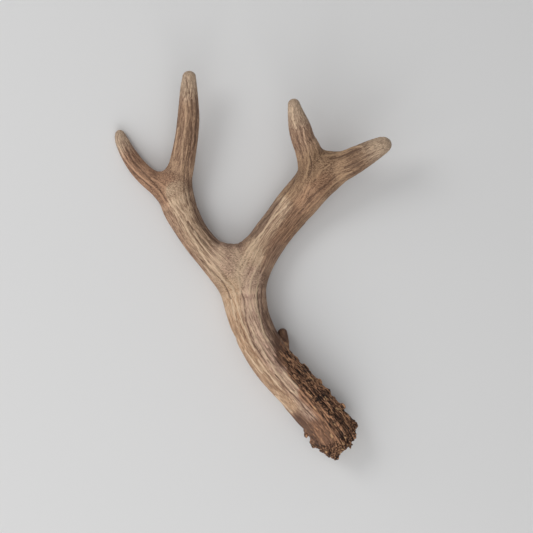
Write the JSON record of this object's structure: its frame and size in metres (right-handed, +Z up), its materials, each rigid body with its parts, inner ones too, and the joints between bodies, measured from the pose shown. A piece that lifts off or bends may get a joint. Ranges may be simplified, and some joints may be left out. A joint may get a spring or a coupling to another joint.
{
  "type": "deer antler",
  "caption": "Shed deer antler lying on its side: a curved beam with a rough burr, a small brow point and two forked branches.",
  "frame": {"origin": "on the floor under the middle of the antler's bounding box", "axes": "+Z up from the floor it lies on; +Y from the burr towards the points; +X towards the front fork"},
  "size_m": [0.2316, 0.3243, 0.0596],
  "materials": {
    "antler": "matte, furrowed bone stained brown by bark, paler and smoother at the points"
  },
  "bodies": {
    "root": {"lower_beam": "antler", "rear_beam": "antler", "rear_upright_tine": "antler", "rear_tine": "antler", "front_beam": "antler", "front_short_tine": "antler", "front_tine": "antler"}
  },
  "joints": []
}
